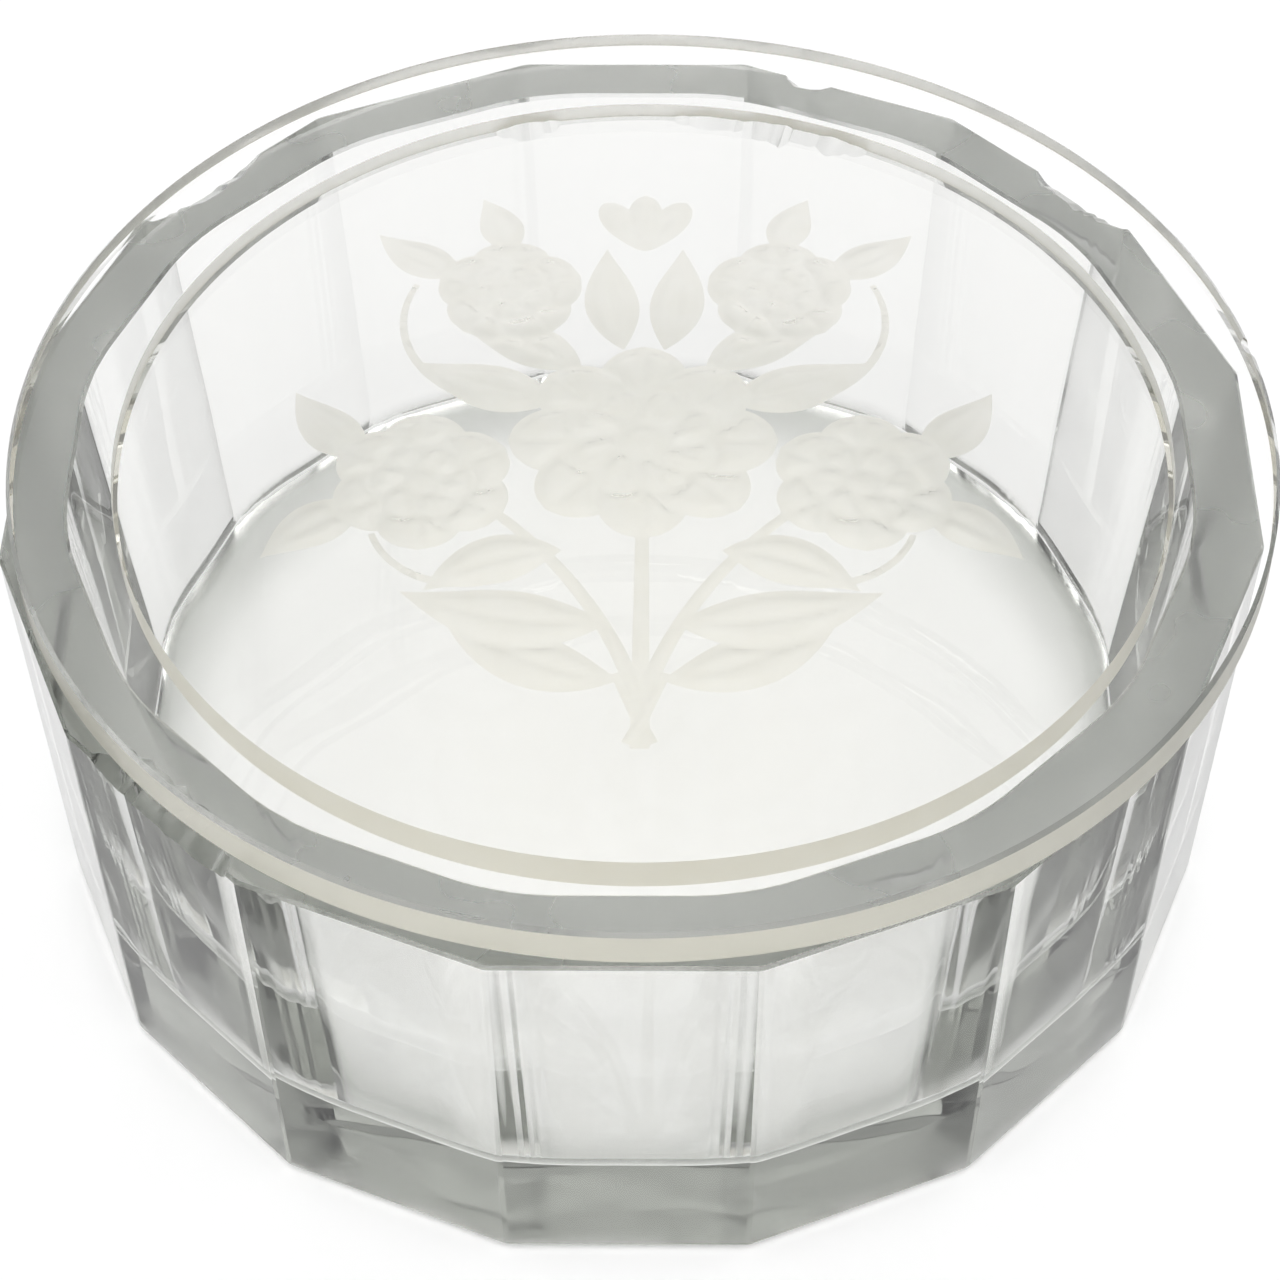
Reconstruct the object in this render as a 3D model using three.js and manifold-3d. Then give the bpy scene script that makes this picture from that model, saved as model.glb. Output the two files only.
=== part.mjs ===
// A covered candy dish in clear cut glass: a thick bowl with flat panels all round its
// outside and its inside, and a flat round lid whose lower step drops into the bowl.
// Millimetres, +Z up, origin in the middle of the bowl's underside.
import * as THREE from 'three';
import { mergeVertices } from 'three/addons/utils/BufferGeometryUtils.js';
import Module from 'manifold-3d';

// Driving dimensions of the bowl.
const PANEL_COUNT = 16; // flat panels round the outside, and as many round the inside
const BOWL_HEIGHT = 46.2;
const INSIDE_APOTHEM = 53.4; // from the axis to the middle of an inside panel, at the rim
const INSIDE_LEAN = 3.8; // how far an inside panel's foot lies inside its top
const RIM_WALL = 5.4; // glass between an inside panel and the outside one, at the rim
const PANEL_LEAN = 1.5; // how far an outside panel's foot lies inside its top
const FLOOR_THICKNESS = 7.4;
const FLOOR_FILLET = 3; // round where the floor meets an inside panel
const FOOT_BEVEL = 0.6; // ground edge round the underside

// Driving dimensions of the lid.
const LID_THICKNESS = 4.1; // the plate that lies on the rim
const PLUG_DEPTH = 3.7; // the step under the plate, which drops into the bowl
const PLUG_PLAY = 3; // gap from the step to an inside panel when the lid is centred
const LID_BEVEL = 0.4; // ground edges of the plate and of the step
const LID_SLIP = 0.63; // share of the play that the lid has slid off centre
const LID_SLIP_ANGLE = 51; // degrees from +X toward +Y in which it has slid

// How finely round surfaces are divided.
const ROUND_STEPS = 96;
const FILLET_STEPS = 6;
const CUTTER_OVERSHOOT = 2; // how far the inside's cutter stands out of the rim

// Sizes that follow from the driving ones.
const cornerFactor = 1 / Math.cos(Math.PI / PANEL_COUNT);
const rimCorner = (INSIDE_APOTHEM + RIM_WALL) * cornerFactor;
const footCorner = (INSIDE_APOTHEM + RIM_WALL - PANEL_LEAN) * cornerFactor;
const lidRadius = rimCorner;
const plugRadius = INSIDE_APOTHEM - PLUG_PLAY;
const slipAngle = THREE.MathUtils.degToRad(LID_SLIP_ANGLE);

const wasm = await Module();
wasm.setup();

// Turns a profile of [radius, height] points about the Z axis.
function turned(profile, steps, startAngle = 0) {
  const points = profile.map(([radius, height]) => new THREE.Vector2(radius, height));
  const geometry = new THREE.LatheGeometry(points, steps, startAngle);
  return geometry.rotateX(Math.PI / 2);
}

// A closed solid from a geometry, ready to cut.
function toSolid(geometry) {
  const bare = geometry.clone();
  bare.deleteAttribute('normal');
  bare.deleteAttribute('uv');
  const merged = mergeVertices(bare);
  const mesh = new wasm.Mesh({
    numProp: 3,
    vertProperties: new Float32Array(merged.attributes.position.array),
    triVerts: new Uint32Array(merged.index.array),
  });
  return new wasm.Manifold(mesh);
}

// A geometry from a solid that has been cut.
function toGeometry(solid) {
  const mesh = solid.getMesh();
  const geometry = new THREE.BufferGeometry();
  geometry.setAttribute('position', new THREE.BufferAttribute(mesh.vertProperties, 3));
  geometry.setIndex(new THREE.BufferAttribute(mesh.triVerts, 1));
  geometry.computeVertexNormals();
  return geometry;
}

// A panelled solid from the profile of its corners, with the middle of a panel toward -Y.
function panelled(profile) {
  return turned(profile, PANEL_COUNT, Math.PI / PANEL_COUNT);
}

// The outside of the bowl: panels that lean in toward a bevelled foot.
function bowlOutside() {
  const lean = (rimCorner - footCorner) / BOWL_HEIGHT;
  const profile = [
    [0, 0],
    [footCorner - FOOT_BEVEL, 0],
    [footCorner + lean * FOOT_BEVEL, FOOT_BEVEL],
    [rimCorner, BOWL_HEIGHT],
    [0, BOWL_HEIGHT],
  ];
  return panelled(profile);
}

// The space inside the bowl: flat floor, fillet and leaning panels, run out past the rim.
function bowlInside() {
  const slope = INSIDE_LEAN / (BOWL_HEIGHT - FLOOR_THICKNESS);
  const leanAngle = Math.atan(slope);
  const filletTurn = Math.PI / 2 - leanAngle;
  const floorEnd = INSIDE_APOTHEM - INSIDE_LEAN - FLOOR_FILLET * Math.tan(filletTurn / 2);
  const profile = [[0, FLOOR_THICKNESS]];
  for (let step = 0; step <= FILLET_STEPS; step += 1) {
    const angle = (step / FILLET_STEPS) * filletTurn;
    profile.push([
      (floorEnd + FLOOR_FILLET * Math.sin(angle)) * cornerFactor,
      FLOOR_THICKNESS + FLOOR_FILLET * (1 - Math.cos(angle)),
    ]);
  }
  const topApothem = INSIDE_APOTHEM + slope * CUTTER_OVERSHOOT;
  profile.push([topApothem * cornerFactor, BOWL_HEIGHT + CUTTER_OVERSHOOT]);
  profile.push([0, BOWL_HEIGHT + CUTTER_OVERSHOOT]);
  return panelled(profile);
}

function makeBowl() {
  const geometry = toGeometry(toSolid(bowlOutside()).subtract(toSolid(bowlInside())));
  const material = new THREE.MeshStandardMaterial({
    name: 'bowl glass',
    color: 0xe6e9e4,
    roughness: 0.04,
    metalness: 0,
    transparent: true,
    opacity: 0.35,
  });
  const bowl = new THREE.Mesh(geometry, material);
  bowl.name = 'bowl';
  return bowl;
}

// The plate and its step in one turned piece, with the plate's underside at height 0.
function makeLid() {
  const profile = [
    [0, -PLUG_DEPTH],
    [plugRadius - LID_BEVEL, -PLUG_DEPTH],
    [plugRadius, LID_BEVEL - PLUG_DEPTH],
    [plugRadius, 0],
    [lidRadius - LID_BEVEL, 0],
    [lidRadius, LID_BEVEL],
    [lidRadius, LID_THICKNESS - LID_BEVEL],
    [lidRadius - LID_BEVEL, LID_THICKNESS],
    [0, LID_THICKNESS],
  ];
  const material = new THREE.MeshStandardMaterial({
    name: 'lid glass',
    color: 0xecede6,
    roughness: 0.04,
    metalness: 0,
    transparent: true,
    opacity: 0.35,
  });
  const lid = new THREE.Mesh(turned(profile, ROUND_STEPS), material);
  lid.name = 'lid';
  const slip = LID_SLIP * PLUG_PLAY;
  lid.position.set(slip * Math.cos(slipAngle), slip * Math.sin(slipAngle), BOWL_HEIGHT);
  return lid;
}

const candyDish = new THREE.Group();
candyDish.name = 'candy_dish';
candyDish.add(makeBowl());
candyDish.add(makeLid());

export default candyDish;
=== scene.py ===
"""Looks of a covered candy dish in clear cut glass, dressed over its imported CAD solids.

Metres, +Z up, the middle of the bowl's underside at the origin. The bowl's panels, rim and floor and
the lid's plate and step are rebuilt here with fine meshes, and a spray of blossoms and leaves is
carved into the lid's underside and left frosted.
"""
import math

import bmesh
import bpy
import numpy as np
from mathutils import Matrix, Vector
from mathutils.geometry import delaunay_2d_cdt


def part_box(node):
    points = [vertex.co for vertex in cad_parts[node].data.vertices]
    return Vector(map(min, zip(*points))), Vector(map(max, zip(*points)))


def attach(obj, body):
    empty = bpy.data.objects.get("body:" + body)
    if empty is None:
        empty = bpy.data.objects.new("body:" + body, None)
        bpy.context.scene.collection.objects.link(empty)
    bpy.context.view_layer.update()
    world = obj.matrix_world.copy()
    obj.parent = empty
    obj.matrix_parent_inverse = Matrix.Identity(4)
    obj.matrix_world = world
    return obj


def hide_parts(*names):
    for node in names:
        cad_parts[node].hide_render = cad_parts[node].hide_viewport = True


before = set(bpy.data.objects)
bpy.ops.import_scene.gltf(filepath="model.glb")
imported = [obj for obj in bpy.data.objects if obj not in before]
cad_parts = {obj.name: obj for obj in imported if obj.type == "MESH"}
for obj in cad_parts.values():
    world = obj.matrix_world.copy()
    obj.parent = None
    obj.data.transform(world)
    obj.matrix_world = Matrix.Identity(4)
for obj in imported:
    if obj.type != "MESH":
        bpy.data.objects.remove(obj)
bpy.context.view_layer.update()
MM = 0.001

# Sizes read from the frame.
BOWL_LOW, BOWL_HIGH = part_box("bowl")
LID_LOW, LID_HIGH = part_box("lid")
RIM_APOTHEM = BOWL_HIGH.x
BOWL_HEIGHT = BOWL_HIGH.z
LID_CENTRE = (LID_LOW + LID_HIGH) / 2
LID_RADIUS = (LID_HIGH.x - LID_LOW.x) / 2
LID_TOP = LID_HIGH.z
PLUG_BOTTOM = LID_LOW.z

# Sizes of the bowl that its box doesn't show.
PANELS = 16
HALF_PANEL = math.pi / PANELS
FLAT_POINTS = 14
CORNER_POINTS = 24
CORNER_ZONE = 5.0 * MM
PANEL_LEAN = 1.5 * MM
INSIDE_APOTHEM = 52.8 * MM
INSIDE_SHIFT = 0.6 * MM
INSIDE_CORNER = 26.0 * MM
RIPPLE = 0.02 * MM
RIPPLE_REACH = 2.2 * MM
INSIDE_LEAN = 3.8 * MM
FLOOR_TOP = 7.4 * MM
FLOOR_FILLET = 3.0 * MM
FILLET_STEPS = 24
FOOT_BEVEL = 0.6 * MM
FOOT_RING = 42.0 * MM
FOOT_STEPS = 10
FOOT_FROST = 0.5
ARRIS = 0.25 * MM
RIM_BEVEL = 0.3 * MM
BOWL_SHARP_DEGREES = 3.5
SEAT_GAP = 0.06 * MM

# Sizes of the lid that its box doesn't show.
LID_POINTS = 768
PLUG_RADIUS = 50.4 * MM
LID_BEVEL = 0.4 * MM
EDGE_FROST = 0.8
STEP_DULL = 1.0
EDGE_DULL = 0.15
CARVED_DULL = 0.7
LID_SHARP_DEGREES = 26.0
CARVED_RADIUS = 44.0
LEVEL_NORMAL = 0.99999
MERGE_DISTANCE = 2e-6

# Flakes off the edges: middle and half width in degrees from -Y toward +X, and depth in millimetres,
# then the share of its depth by which a flake also lowers or raises its edge.
RIM_CHIPS = ((129.0, 6.0, 2.0), (-131.0, 7.0, 1.9), (162.0, 2.2, 1.6), (-44.0, 9.0, 2.8))
RIM_CHIP_DROP = 0.7
STEP_CHIPS = (
    (154.5, 1.6, 1.0), (157.0, 2.0, 2.0), (160.5, 2.4, 1.4), (163.5, 1.5, 2.7), (166.0, 2.2, 1.9),
    (169.5, 1.8, 1.1), (172.5, 2.4, 1.6), (175.5, 1.0, 0.8), (192.0, 1.4, 1.2), (194.5, 2.2, 2.2),
    (197.0, 1.0, 0.9),
)
STEP_CHIP_RISE = 0.5
PLATE_CHIPS = ((101.0, 1.1, 0.7),)
PLATE_CHIP_DROP = 0.9
CHIP_JAG = 0.12

# The carved ornament, in millimetres about the lid's axis, +y away from the viewer.
OUTLINE_STEP = 0.5
GRID_STEP = 0.55
ROW_HEIGHT = math.sqrt(0.75)
GRID_OVERSHOOT = 1.2
OUTLINE_CLEARANCE = 0.2
SAME_POINT = 0.02
PETAL_DEPTH = 0.26
LEAF_DEPTH = 0.22
STEM_DEPTH = 0.16
CENTRE_DEPTH = 0.18
DISH_WIDTH = 1.6
RIDGE_WIDTH = 1.0
VEIN_WIDTH = 0.45
VEIN_RISE = 0.6
PETAL_OVERLAP = 2.3
INNER_PETAL_LENGTH = 0.58
INNER_PETAL_WIDTH = 0.55
DISC_SHARE = 0.19

# The camera, which stands where the photograph was taken from.
IMAGE_SIDE = 1280
FOCAL_PIXELS = 3392
SENSOR_WIDTH = 36.0
CAMERA_DISTANCE = 0.358
CAMERA_AZIMUTH = math.radians(1.04)
CAMERA_ELEVATION = math.radians(50.45)
CAMERA_ROLL = math.radians(-0.475)
CAMERA_AIM = Vector((0.8 * MM, 0.0, 21.8 * MM))

# The studio's light: levels, directions, and the angles in degrees where a light ends and is full.
WALLS = 0.3
CEILING = 2.4
CEILING_DIRECTION = (0.0, 0.0, 1.0)
CEILING_FADE = (50.0, 20.0)
WINDOW = 1.0
WINDOW_DIRECTION = (0.25, 0.72, 0.75)
WINDOW_FADE = (36.0, 22.0)
LIGHT_BOUNCES = 32

# The paper under the dish.
PAPER_COLOUR = (0.92, 0.92, 0.92, 1.0)
PAPER_RADIUS = 3.0
PAPER_DROP = 0.2 * MM
FLOOR_GLOW = 0.75
SHADE_RADIUS = 55.0 * MM
GLOW_RADIUS = 64.0 * MM

# The glass: what it absorbs, how rough it is where it is ground, how much of that it keeps where it
# has been rubbed, and the colour of its ground faces, which on the bowl's foot ring is painted shade.
GLASS_IOR = 1.5
BOWL_TINT = (0.10, 0.12, 0.07, 1.0)
BOWL_DENSITY = 14.0
BOWL_ROUGHNESS = 0.5
BOWL_WEAR = 0.2
# Painted shade: the bowl's foot ring is greyed toward its edge, standing in for the shadow under its
# walls.
BOWL_PAINTED_SHADE = (0.72, 0.74, 0.71, 1.0)
LID_TINT = (0.69, 0.68, 0.59, 1.0)
LID_DENSITY = 10.0
LID_ROUGHNESS = 0.45
LID_WEAR = 1.0
LID_DULL = (0.82, 0.79, 0.68, 1.0)
WEAR_SCALE = 60.0
GRAIN_SCALE = 300.0
WAVE_SCALE = 50.0
WAVE_HEIGHT = 0.12 * MM


def panel_angles():
    """Angles round the bowl from -Y toward +X, close together near a panel's edges, and the same
    angles measured from the middle of their panel."""
    edge = HALF_PANEL - ARRIS / RIM_APOTHEM
    near = HALF_PANEL - CORNER_ZONE / RIM_APOTHEM
    locals_ = np.concatenate((
        np.linspace(-edge, -near, CORNER_POINTS, endpoint=False),
        np.linspace(-near, near, FLAT_POINTS, endpoint=False),
        np.linspace(near, edge, CORNER_POINTS),
    ))
    return [(2 * HALF_PANEL * panel + local, local) for panel in range(PANELS) for local in locals_]


ANGLES = panel_angles()


def polar(radius, angle, height):
    return Vector((radius * math.sin(angle), -radius * math.cos(angle), height))


def uneven(angle, fast, slow, swing):
    """A wave round the axis, from -1 to 1, whose pace comes and goes."""
    return math.sin(fast * angle + swing * math.sin(slow * angle))


def flake(angle, chips):
    """How much of an edge is gone at an angle where flakes have come off it."""
    gone = 0.0
    for middle, half_width, depth in chips:
        off = ((math.degrees(angle) - middle + 180) % 360 - 180) / half_width
        if abs(off) < 1:
            jag = 1 - CHIP_JAG + CHIP_JAG * uneven(angle, 137, 51, 3)
            gone = max(gone, depth * MM * jag * math.sqrt(1 - off * off))
    return gone


def panel_ring(apothem, height, chips=(), sunk=0.0):
    """A ring of points on flat outside panels at that distance from the axis, set in by flakes or
    lowered by a share of them."""
    ring = []
    for angle, local in ANGLES:
        gone = flake(angle, chips)
        inset = 0.0 if sunk else gone
        ring.append(polar((apothem - inset) / math.cos(local), angle, height - sunk * gone))
    return ring


def ripple(angle, local):
    """Small upright ripples left on the inside near its corners."""
    from_corner = (HALF_PANEL - abs(local)) * INSIDE_APOTHEM
    wave = uneven(angle, 193, 37, 3) + 0.6 * uneven(angle, 109, 23, 2)
    return RIPPLE * wave * math.exp(-((from_corner / RIPPLE_REACH) ** 2))


def inside_ring(apothem, height):
    """A ring of points on flat inside panels with round corners between them, a little off the axis."""
    middle = (apothem - INSIDE_CORNER) / math.cos(HALF_PANEL)
    flat_end = math.atan(math.tan(HALF_PANEL) * (apothem - INSIDE_CORNER) / apothem)
    shift = Vector((0.0, INSIDE_SHIFT, 0.0))
    ring = []
    for angle, local in ANGLES:
        radius = apothem / math.cos(local)
        if abs(local) > flat_end:
            off = HALF_PANEL - abs(local)
            across = middle * math.sin(off)
            radius = middle * math.cos(off) + math.sqrt(INSIDE_CORNER ** 2 - across ** 2)
        ring.append(polar(radius + ripple(angle, local), angle, height) + shift)
    return ring


def round_ring(radius, height):
    """A round ring whose points face those of a panelled one."""
    return [polar(radius, angle, height) for angle, _ in ANGLES]


def lid_angle(point):
    return 2 * math.pi * point / LID_POINTS


def lid_ring(radius, height, chips=(), rise=0.0):
    """A round ring about the lid's axis, set in by flakes or raised by a share of them."""
    ring = []
    for i in range(LID_POINTS):
        gone = flake(lid_angle(i), chips)
        inset = 0.0 if rise else gone
        point = polar(radius - inset, lid_angle(i), height + rise * gone)
        ring.append(point + Vector((LID_CENTRE.x, LID_CENTRE.y, 0.0)))
    return ring


def add_ring(bm, points):
    return [bm.verts.new(p) for p in points]


def blend(ring, other, share):
    """A ring part of the way from one ring to another."""
    return [a.lerp(b, share) for a, b in zip(ring, other)]


def bridge(bm, low, high, frost=0.0, dull_and_shade_low=0.0, dull_and_shade_high=0.0):
    """A band of faces between two rings of vertices: how rough it is, and at each ring its share of the
    ground colour, which on the bowl's foot is painted shade.
    """
    count = len(low)
    for i in range(count):
        face = bm.faces.new((low[i], low[(i + 1) % count], high[(i + 1) % count], high[i]))
        face[bm.faces.layers.float["frost"]] = frost
        for loop, dull_and_shade in zip(face.loops, (dull_and_shade_low, dull_and_shade_low, dull_and_shade_high, dull_and_shade_high)):
            loop[bm.loops.layers.float["dull_and_shade"]] = dull_and_shade


def cap(bm, ring, centre):
    """A fan of faces from a ring to one point in its middle."""
    middle = bm.verts.new(centre)
    for i in range(len(ring)):
        bm.faces.new((ring[i], ring[(i + 1) % len(ring)], middle))


def start_mesh():
    """An empty bmesh that holds how rough its faces are and how much ground colour their corners take,
    which on the bowl's foot is painted shade.
    """
    bm = bmesh.new()
    bm.faces.layers.float.new("frost")
    bm.loops.layers.float.new("dull_and_shade")
    return bm


def finish_mesh(bm, name, sharp_degrees):
    """Turns a closed bmesh into an object whose edges are sharp past that angle."""
    bmesh.ops.recalc_face_normals(bm, faces=bm.faces)
    mesh = bpy.data.meshes.new(name)
    bm.to_mesh(mesh)
    bm.free()
    for polygon in mesh.polygons:
        polygon.use_smooth = True
    mesh.set_sharp_from_angle(angle=math.radians(sharp_degrees))
    piece = bpy.data.objects.new(name, mesh)
    bpy.context.scene.collection.objects.link(piece)
    return piece


def shade_level_faces_flat(piece):
    """Shades clear level faces flat, so that carving beside them doesn't bend the light in them."""
    frost = piece.data.attributes["frost"].data
    for polygon in piece.data.polygons:
        if frost[polygon.index].value == 0.0 and abs(polygon.normal.z) > LEVEL_NORMAL:
            polygon.use_smooth = False


def make_bowl():
    """The bowl: panelled outside and inside, ground rim, ground foot ring with painted shade deepening
    toward its edge, thick floor with a fillet.
    """
    bm = start_mesh()
    top = BOWL_HEIGHT - SEAT_GAP
    foot_apothem = RIM_APOTHEM - PANEL_LEAN
    ring_edge = round_ring(FOOT_RING, 0.0)
    foot_edge = panel_ring(foot_apothem - FOOT_BEVEL, 0.0)
    rings = [blend(ring_edge, foot_edge, step / FOOT_STEPS) for step in range(FOOT_STEPS + 1)]
    rings += [
        panel_ring(foot_apothem, FOOT_BEVEL),
        panel_ring(RIM_APOTHEM, top - RIM_BEVEL, RIM_CHIPS, RIM_CHIP_DROP),
        panel_ring(RIM_APOTHEM - RIM_BEVEL, top, RIM_CHIPS),
        inside_ring(INSIDE_APOTHEM + RIM_BEVEL, top),
        inside_ring(INSIDE_APOTHEM, top - RIM_BEVEL),
    ]
    rim_band = FOOT_STEPS + 3
    whole_turn = math.pi / 2 - math.atan(INSIDE_LEAN / (BOWL_HEIGHT - FLOOR_TOP))
    floor_end = INSIDE_APOTHEM - INSIDE_LEAN - FLOOR_FILLET * math.tan(whole_turn / 2)
    for step in range(FILLET_STEPS, -1, -1):
        turn = whole_turn * step / FILLET_STEPS
        apothem = floor_end + FLOOR_FILLET * math.sin(turn)
        height = FLOOR_TOP + FLOOR_FILLET * (1 - math.cos(turn))
        rings.append(inside_ring(apothem, height))
    loops = [add_ring(bm, ring) for ring in rings]
    cap(bm, loops[0], (0, 0, 0))
    for band in range(len(loops) - 1):
        frost, dull_and_shade_low, dull_and_shade_high = 0.0, 0.0, 0.0
        # The foot ring is ground and takes painted shade, none at its inner edge and full at the foot,
        # for the shadow under the walls.
        if band < FOOT_STEPS:
            frost, dull_and_shade_low, dull_and_shade_high = FOOT_FROST, band / FOOT_STEPS, (band + 1) / FOOT_STEPS
        if band == rim_band:
            frost = 1.0
        bridge(bm, loops[band], loops[band + 1], frost, dull_and_shade_low, dull_and_shade_high)
    cap(bm, loops[-1], (0, INSIDE_SHIFT, FLOOR_TOP))
    return finish_mesh(bm, "bowl_glass", BOWL_SHARP_DEGREES)


class Blade:
    """A petal, leaf or stem: a bent spine with a width that follows a profile."""

    def __init__(self, start, heading, length, bend, width, profile, depth, vein):
        self.depth = depth
        self.vein = vein
        steps = max(10, round(length / OUTLINE_STEP))
        turn = math.radians(heading)
        spine = [np.array(start, float)]
        left, right = [], []
        for i in range(steps + 1):
            share = i / steps
            angle = turn + math.radians(bend) * share
            side = np.array((-math.sin(angle), math.cos(angle))) * width / 2 * profile(share)
            left.append(spine[-1] + side)
            right.append(spine[-1] - side)
            middle = turn + math.radians(bend) * (share + 0.5 / steps)
            spine.append(spine[-1] + length / steps * np.array((math.cos(middle), math.sin(middle))))
        self.spine = np.array(spine[:-1])
        self.outline = tidy_outline(left + right[::-1])


class Disc:
    """A round middle of a blossom."""

    def __init__(self, centre, radius):
        self.depth = CENTRE_DEPTH
        self.vein = False
        count = max(16, round(2 * math.pi * radius / OUTLINE_STEP))
        turns = np.arange(count) * 2 * math.pi / count
        self.spine = np.array([centre], float)
        circle = np.stack((np.cos(turns), np.sin(turns)), 1)
        self.outline = np.array(centre) + radius * circle


def tidy_outline(points):
    """Drops points that fall on the one before them."""
    kept = []
    for point in points:
        if not kept or np.linalg.norm(point - kept[-1]) > SAME_POINT:
            kept.append(point)
    if np.linalg.norm(kept[0] - kept[-1]) < SAME_POINT:
        kept.pop()
    return np.array(kept)


def petal_profile(share):
    return max(0.0, math.sin(math.pi * share)) ** 0.55 * (0.5 + 0.5 * share)


def leaf_profile(share):
    return max(0.0, math.sin(math.pi * share ** 0.85)) ** 1.1


def stem_profile(share):
    return 1.0 - 0.45 * share


def petal(start, heading, length, width):
    return Blade(start, heading, length, 0.0, width, petal_profile, PETAL_DEPTH, True)


def leaf(start, heading, length, bend, width):
    return Blade(start, heading, length, bend, width, leaf_profile, LEAF_DEPTH, True)


def stem(start, heading, length, bend, width):
    return Blade(start, heading, length, bend, width, stem_profile, STEM_DEPTH, False)


def blossom(centre, radius, petals, turn):
    """Two rings of petals round a small disc."""
    shapes = []
    width = PETAL_OVERLAP * radius * math.sin(math.pi / petals)
    inner_length = INNER_PETAL_LENGTH * radius
    inner_width = INNER_PETAL_WIDTH * width
    for i in range(petals):
        shapes.append(petal(centre, turn + 360 * i / petals, radius, width))
    for i in range(petals):
        shapes.append(petal(centre, turn + 360 * (i + 0.5) / petals, inner_length, inner_width))
    shapes.append(Disc(centre, DISC_SHARE * radius))
    return shapes


def half_spray(side):
    """The stems, leaves and blossoms on one side of the spray, from the lowest cut to the topmost."""

    def turned(heading):
        return heading if side == 1 else 180 - heading

    def at(x, y):
        return (side * x, y)

    shapes = [
        stem(at(0.3, -30.0), turned(75), 36.0, side * -42, 1.6),
        stem(at(0.3, -6.0), turned(72), 30.0, side * -12, 1.4),
        stem(at(1.0, -35.5), turned(112), 9.0, 0, 1.4),
        stem(at(9.0, -11.5), turned(-62), 21.0, side * 135, 1.2),
        stem(at(16.0, 8.0), turned(20), 20.0, side * 95, 1.1),
        leaf(at(2.0, -28.0), turned(8), 19.0, side * 38, 6.4),
        leaf(at(3.0, -21.0), turned(-4), 20.0, side * 30, 6.8),
        leaf(at(7.5, -12.0), turned(-2), 14.0, side * -40, 6.0),
        leaf(at(8.0, 8.0), turned(8), 15.0, side * 25, 6.2),
        leaf(at(6.0, 12.0), turned(42), 14.0, side * -30, 5.6),
        leaf(at(2.0, 15.0), turned(76), 15.0, side * 14, 5.4),
        leaf(at(26.0, 0.0), turned(36), 12.0, side * 25, 5.4),
        leaf(at(26.0, -6.0), turned(-24), 12.0, side * -25, 5.4),
        leaf(at(18.0, 26.0), turned(18), 11.0, side * 30, 4.8),
        leaf(at(13.5, 29.0), turned(78), 9.0, side * -18, 4.4),
    ]
    shapes += blossom(at(21.0, -3.0), 9.0, 6, 90)
    shapes += blossom(at(13.5, 23.5), 7.4, 5, 90)
    return shapes


def ornament():
    """A spray of blossoms and leaves, even on both sides, from the lowest cut to the topmost."""
    shapes = [stem((0.0, -36.0), 90, 40.0, 0, 1.8)]
    shapes += half_spray(1)
    shapes += half_spray(-1)
    for heading in (60, 120, 90):
        shapes.append(petal((0.0, 29.5), heading, 8.5, 4.6))
    shapes += blossom((0.0, 2.5), 13.0, 8, 90)
    return shapes


def inside(outline, points):
    """Which points lie inside a closed outline."""
    result = np.zeros(len(points), bool)
    ends = np.roll(outline, -1, 0)
    for (x0, y0), (x1, y1) in zip(outline, ends):
        if y0 == y1:
            continue
        crosses = (y0 > points[:, 1]) != (y1 > points[:, 1])
        reach = x0 + (points[:, 1] - y0) * (x1 - x0) / (y1 - y0)
        result ^= crosses & (points[:, 0] < reach)
    return result


def path_distance(path, points, closed):
    """Distance from each point to a path of straight pieces."""
    ends = np.roll(path, -1, 0) if closed else path[1:]
    starts = path if closed else path[:-1]
    best = np.full(len(points), np.inf)
    for start, end in zip(starts, ends):
        along = end - start
        share = np.clip((points - start) @ along / max(along @ along, 1e-12), 0, 1)
        best = np.minimum(best, np.linalg.norm(points - start - share[:, None] * along, axis=1))
    return best


def carve_depth(shape, points):
    """How deep a shape is cut at points inside it: dished to its outline, with a raised vein."""
    edge = path_distance(shape.outline, points, True)
    width = min(DISH_WIDTH, 1.01 * edge.max()) if len(edge) else DISH_WIDTH
    share = np.minimum(edge / max(width, 1e-6), 1)
    depth = shape.depth * share ** 2 * (3 - 2 * share)
    if shape.vein:
        vein = path_distance(shape.spine, points, False)
        depth *= 1 - VEIN_RISE * np.exp(-((vein / VEIN_WIDTH) ** 2))
    depth[edge < 1e-3] = 0.0
    return depth


def filling_points(shapes):
    """Points of an even grid that lie inside the shapes and clear of their outlines."""
    reach = CARVED_RADIUS
    grid = np.array([
        (x + (GRID_STEP / 2 if row % 2 else 0), y * ROW_HEIGHT)
        for row, y in enumerate(np.arange(-reach * GRID_OVERSHOOT, reach * GRID_OVERSHOOT, GRID_STEP))
        for x in np.arange(-reach, reach, GRID_STEP)
    ])
    wanted = np.zeros(len(grid), bool)
    for shape in shapes:
        wanted |= inside(shape.outline, grid)
    for shape in shapes:
        near = path_distance(shape.outline, grid[wanted], True) < OUTLINE_CLEARANCE
        wanted[np.flatnonzero(wanted)[near]] = False
    return grid[wanted]


def triangulated(shapes):
    """The disc that the shapes are cut in, divided along their outlines: vertices and triangles."""
    points = []
    for i in range(LID_POINTS):
        points.append((CARVED_RADIUS * math.sin(lid_angle(i)), -CARVED_RADIUS * math.cos(lid_angle(i))))
    edges = []
    for shape in shapes:
        first = len(points)
        count = len(shape.outline)
        points += [tuple(p) for p in shape.outline]
        edges += [(first + i, first + (i + 1) % count) for i in range(count)]
    points += [tuple(p) for p in filling_points(shapes)]
    divided = delaunay_2d_cdt([Vector(p) for p in points], edges, [], 0, 1e-4)
    return np.array([tuple(v) for v in divided[0]]), divided[2]


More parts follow.
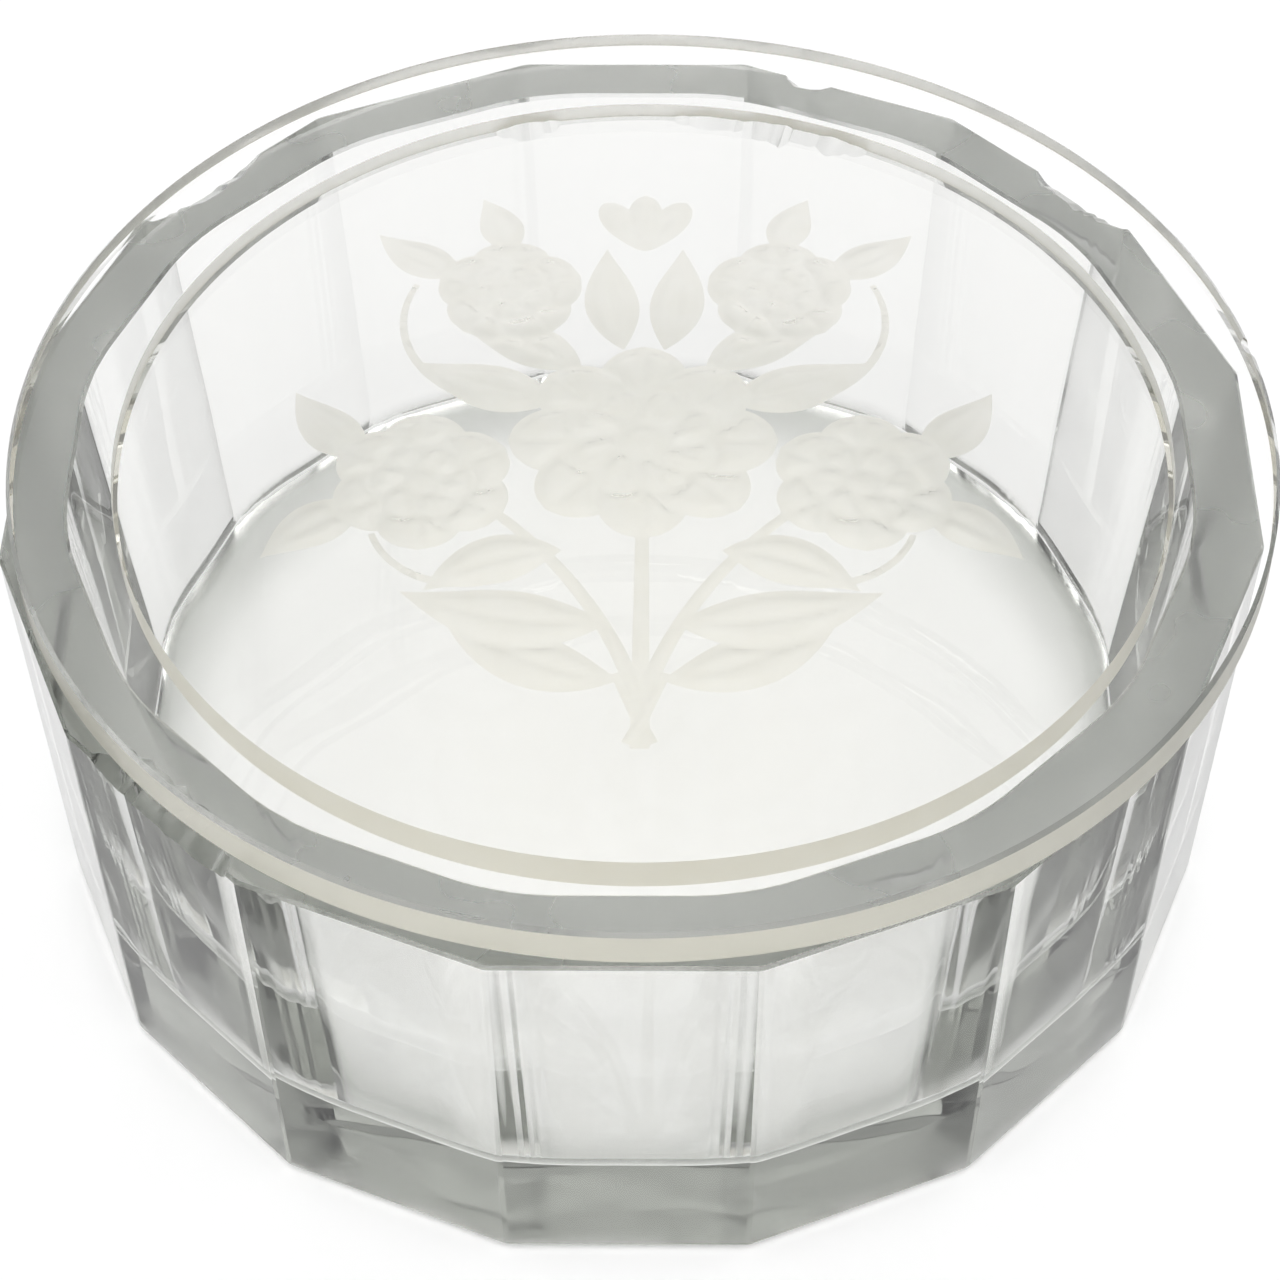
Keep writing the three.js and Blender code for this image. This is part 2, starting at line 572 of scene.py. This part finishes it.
def carved_disc():
    """The middle of the lid's underside: vertices in millimetres, depths, triangles and frosted ones."""
    shapes = ornament()
    verts, faces = triangulated(shapes)
    depths = np.zeros(len(verts))
    centres = np.array([verts[list(f)].mean(0) for f in faces])
    frosted = np.zeros(len(faces), bool)
    for shape in shapes:
        near = np.minimum(path_distance(shape.outline, verts, True) / RIDGE_WIDTH, 1)
        depths *= near ** 2 * (3 - 2 * near)
        held = np.flatnonzero(inside(shape.outline, verts))
        depths[held] = carve_depth(shape, verts[held])
        frosted |= inside(shape.outline, centres)
    return verts, depths, faces, frosted


def make_lid():
    """The lid: round plate, lower step with ground edges and a carved underside."""
    bm = start_mesh()
    frost = bm.faces.layers.float["frost"]
    dull_and_shade = bm.loops.layers.float["dull_and_shade"]
    verts, depths, faces, frosted = carved_disc()
    corners = [
        bm.verts.new((LID_CENTRE.x + x * MM, LID_CENTRE.y + y * MM, PLUG_BOTTOM + depth * MM))
        for (x, y), depth in zip(verts, depths)
    ]
    for face, is_frosted in zip(faces, frosted):
        made = bm.faces.new([corners[i] for i in face])
        made[frost] = 1.0 if is_frosted else 0.0
        for loop in made.loops:
            loop[dull_and_shade] = CARVED_DULL if is_frosted else 0.0
    seat = BOWL_HEIGHT
    profile = [
        lid_ring(CARVED_RADIUS * MM, PLUG_BOTTOM),
        lid_ring(PLUG_RADIUS - LID_BEVEL, PLUG_BOTTOM, STEP_CHIPS),
        lid_ring(PLUG_RADIUS, PLUG_BOTTOM + LID_BEVEL, STEP_CHIPS, STEP_CHIP_RISE),
        lid_ring(PLUG_RADIUS, seat),
        lid_ring(LID_RADIUS - LID_BEVEL, seat),
        lid_ring(LID_RADIUS, seat + LID_BEVEL),
        lid_ring(LID_RADIUS, LID_TOP - LID_BEVEL, PLATE_CHIPS, -PLATE_CHIP_DROP),
        lid_ring(LID_RADIUS - LID_BEVEL, LID_TOP, PLATE_CHIPS),
    ]
    ground = {2: STEP_DULL, 5: EDGE_DULL}
    loops = [add_ring(bm, ring) for ring in profile]
    for band in range(len(loops) - 1):
        grey = ground.get(band, 0.0)
        bridge(bm, loops[band], loops[band + 1], EDGE_FROST if band in ground else 0.0, grey, grey)
    cap(bm, loops[-1], (LID_CENTRE.x, LID_CENTRE.y, LID_TOP))
    bmesh.ops.remove_doubles(bm, verts=bm.verts, dist=MERGE_DISTANCE)
    lid = finish_mesh(bm, "lid_glass", LID_SHARP_DEGREES)
    shade_level_faces_flat(lid)
    return lid


def math_node(tree, operation, *values):
    """A Math node on numbers or on other nodes' outputs."""
    node = tree.nodes.new("ShaderNodeMath")
    node.operation = operation
    for socket, value in zip(node.inputs, values):
        if isinstance(value, (int, float)):
            socket.default_value = value
        else:
            tree.links.new(value, socket)
    return node.outputs[0]


def ramp(tree, value, from_low, from_high, to_low, to_high):
    """A smooth step of a value between two levels."""
    node = tree.nodes.new("ShaderNodeMapRange")
    node.interpolation_type = "SMOOTHSTEP"
    levels = {"From Min": from_low, "From Max": from_high, "To Min": to_low, "To Max": to_high}
    for name, level in levels.items():
        node.inputs[name].default_value = level
    tree.links.new(value, node.inputs["Value"])
    return node.outputs["Result"]


def noise(tree, place, scale, detail):
    node = tree.nodes.new("ShaderNodeTexNoise")
    node.inputs["Scale"].default_value = scale
    node.inputs["Detail"].default_value = detail
    tree.links.new(place, node.inputs["Vector"])
    return node.outputs["Fac"]


def attribute(tree, name):
    node = tree.nodes.new("ShaderNodeAttribute")
    node.attribute_name = name
    return node.outputs["Fac"]


def ground_roughness(tree, place, roughness, worn):
    """Roughness where the mesh says glass is ground, with a fine grain and rubbed patches."""
    grain = ramp(tree, noise(tree, place, GRAIN_SCALE, 4.0), 0.3, 0.7, 0.94, 1.06)
    wear = ramp(tree, noise(tree, place, WEAR_SCALE, 2.0), 0.4, 0.6, worn, 1.0)
    uneven_share = math_node(tree, "MULTIPLY", grain, wear)
    frost = math_node(tree, "MULTIPLY", attribute(tree, "frost"), uneven_share)
    return math_node(tree, "MULTIPLY", frost, roughness)


def dull_and_shade_tint(tree, place, colour):
    """White, or a patchy colour where the mesh asks for it: the lid's ground faces, and painted shade on
    the bowl's foot ring.
    """
    patchy = ramp(tree, noise(tree, place, GRAIN_SCALE, 4.0), 0.3, 0.7, 0.85, 1.0)
    shade = tree.nodes.new("ShaderNodeMix")
    shade.data_type = "RGBA"
    tree.links.new(math_node(tree, "MULTIPLY", attribute(tree, "dull_and_shade"), patchy), shade.inputs[0])
    shade.inputs[6].default_value = (1.0, 1.0, 1.0, 1.0)
    shade.inputs[7].default_value = colour
    return shade.outputs[2]


def wavy_normal(tree, place):
    bump = tree.nodes.new("ShaderNodeBump")
    bump.inputs["Distance"].default_value = WAVE_HEIGHT
    tree.links.new(noise(tree, place, WAVE_SCALE, 1.0), bump.inputs["Height"])
    return bump.outputs["Normal"]


def glass_material(name, tint, density, roughness, worn, dull_and_shade_colour):
    """Clear, faintly wavy glass that takes colour over long paths, and that is rough and tinted where
    its mesh says so; on the bowl's foot ring the tint is painted shade, which also darkens its
    reflections."""
    material = bpy.data.materials.new(name)
    material.use_nodes = True
    tree = material.node_tree
    shader = tree.nodes["Principled BSDF"]
    shader.inputs["Transmission Weight"].default_value = 1.0
    shader.inputs["IOR"].default_value = GLASS_IOR
    place = tree.nodes.new("ShaderNodeTexCoord").outputs["Object"]
    tree.links.new(ground_roughness(tree, place, roughness, worn), shader.inputs["Roughness"])
    tinted = dull_and_shade_tint(tree, place, dull_and_shade_colour)
    tree.links.new(tinted, shader.inputs["Base Color"])
    tree.links.new(tinted, shader.inputs["Specular Tint"])
    tree.links.new(wavy_normal(tree, place), shader.inputs["Normal"])
    volume = tree.nodes.new("ShaderNodeVolumeAbsorption")
    volume.inputs["Color"].default_value = tint
    volume.inputs["Density"].default_value = density
    tree.links.new(volume.outputs["Volume"], tree.nodes["Material Output"].inputs["Volume"])
    return material


def floor_material():
    """White paper: lit as any surface, and away from the dish white to the camera and through glass."""
    material = bpy.data.materials.new("paper")
    material.use_nodes = True
    tree = material.node_tree
    tree.nodes.clear()
    paper = tree.nodes.new("ShaderNodeBsdfDiffuse")
    paper.inputs["Color"].default_value = PAPER_COLOUR
    white = tree.nodes.new("ShaderNodeEmission")
    white.inputs["Strength"].default_value = 1.0
    path = tree.nodes.new("ShaderNodeLightPath").outputs
    seen = math_node(tree, "MAXIMUM", path["Is Camera Ray"], path["Is Glossy Ray"])
    seen = math_node(tree, "MAXIMUM", seen, path["Is Transmission Ray"])
    distance = tree.nodes.new("ShaderNodeVectorMath")
    distance.operation = "LENGTH"
    tree.links.new(tree.nodes.new("ShaderNodeTexCoord").outputs["Object"], distance.inputs[0])
    glow = ramp(tree, distance.outputs["Value"], SHADE_RADIUS, GLOW_RADIUS, 0.0, FLOOR_GLOW)
    mix = tree.nodes.new("ShaderNodeMixShader")
    tree.links.new(math_node(tree, "MULTIPLY", seen, glow), mix.inputs["Fac"])
    tree.links.new(paper.outputs[0], mix.inputs[1])
    tree.links.new(white.outputs[0], mix.inputs[2])
    output = tree.nodes.new("ShaderNodeOutputMaterial")
    tree.links.new(mix.outputs[0], output.inputs["Surface"])
    return material


def make_floor():
    place = (0.0, 0.0, -PAPER_DROP)
    bpy.ops.mesh.primitive_circle_add(vertices=96, radius=PAPER_RADIUS, fill_type="NGON", location=place)
    floor = bpy.context.object
    floor.name = "floor"
    floor.data.materials.append(floor_material())


def make_world():
    """A studio with grey walls, a bright ceiling and a broad soft window behind the object."""
    world = bpy.data.worlds.new("studio")
    bpy.context.scene.world = world
    world.use_nodes = True
    tree = world.node_tree
    nodes = tree.nodes
    links = tree.links
    background = nodes["Background"]
    background.inputs["Color"].default_value = (1.0, 1.0, 1.0, 1.0)
    coordinates = nodes.new("ShaderNodeTexCoord")

    def glow(direction, fade, level):
        """Light round a direction, which ends at one angle from it and is full at another."""
        across = nodes.new("ShaderNodeVectorMath")
        across.operation = "DOT_PRODUCT"
        links.new(coordinates.outputs["Generated"], across.inputs[0])
        across.inputs[1].default_value = Vector(direction).normalized()
        end, full = (math.cos(math.radians(angle)) for angle in fade)
        return ramp(tree, across.outputs["Value"], end, full, 0.0, level)

    ceiling = glow(CEILING_DIRECTION, CEILING_FADE, CEILING)
    window = glow(WINDOW_DIRECTION, WINDOW_FADE, WINDOW)
    light = math_node(tree, "ADD", math_node(tree, "MAXIMUM", ceiling, window), WALLS)
    links.new(light, background.inputs["Strength"])


def make_camera():
    flat = CAMERA_DISTANCE * math.cos(CAMERA_ELEVATION)
    place = Vector((
        flat * math.sin(CAMERA_AZIMUTH),
        -flat * math.cos(CAMERA_AZIMUTH),
        CAMERA_DISTANCE * math.sin(CAMERA_ELEVATION),
    ))
    data = bpy.data.cameras.new("camera")
    data.sensor_width = SENSOR_WIDTH
    data.lens = SENSOR_WIDTH * FOCAL_PIXELS / IMAGE_SIDE
    data.clip_start = 0.01
    camera = bpy.data.objects.new("camera", data)
    look = (CAMERA_AIM - place).to_track_quat("-Z", "Y").to_matrix().to_4x4()
    camera.matrix_world = Matrix.Translation(place) @ look @ Matrix.Rotation(CAMERA_ROLL, 4, "Z")
    bpy.context.scene.collection.objects.link(camera)
    bpy.context.scene.camera = camera


def dress(piece, body, node, material):
    """Puts a piece in its node's place, on its body, with its material."""
    piece.data.materials.append(material)
    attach(piece, body)
    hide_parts(node)


bowl_glass = glass_material(
    "bowl_glass", BOWL_TINT, BOWL_DENSITY, BOWL_ROUGHNESS, BOWL_WEAR, BOWL_PAINTED_SHADE
)
lid_glass = glass_material("lid_glass", LID_TINT, LID_DENSITY, LID_ROUGHNESS, LID_WEAR, LID_DULL)
dress(make_bowl(), "bowl", "bowl", bowl_glass)
dress(make_lid(), "lid", "lid", lid_glass)
make_floor()
make_world()
make_camera()

scene = bpy.context.scene
scene.view_settings.view_transform = "Standard"
scene.cycles.max_bounces = LIGHT_BOUNCES
scene.cycles.glossy_bounces = LIGHT_BOUNCES
scene.cycles.transmission_bounces = LIGHT_BOUNCES
scene.cycles.blur_glossy = 0.0
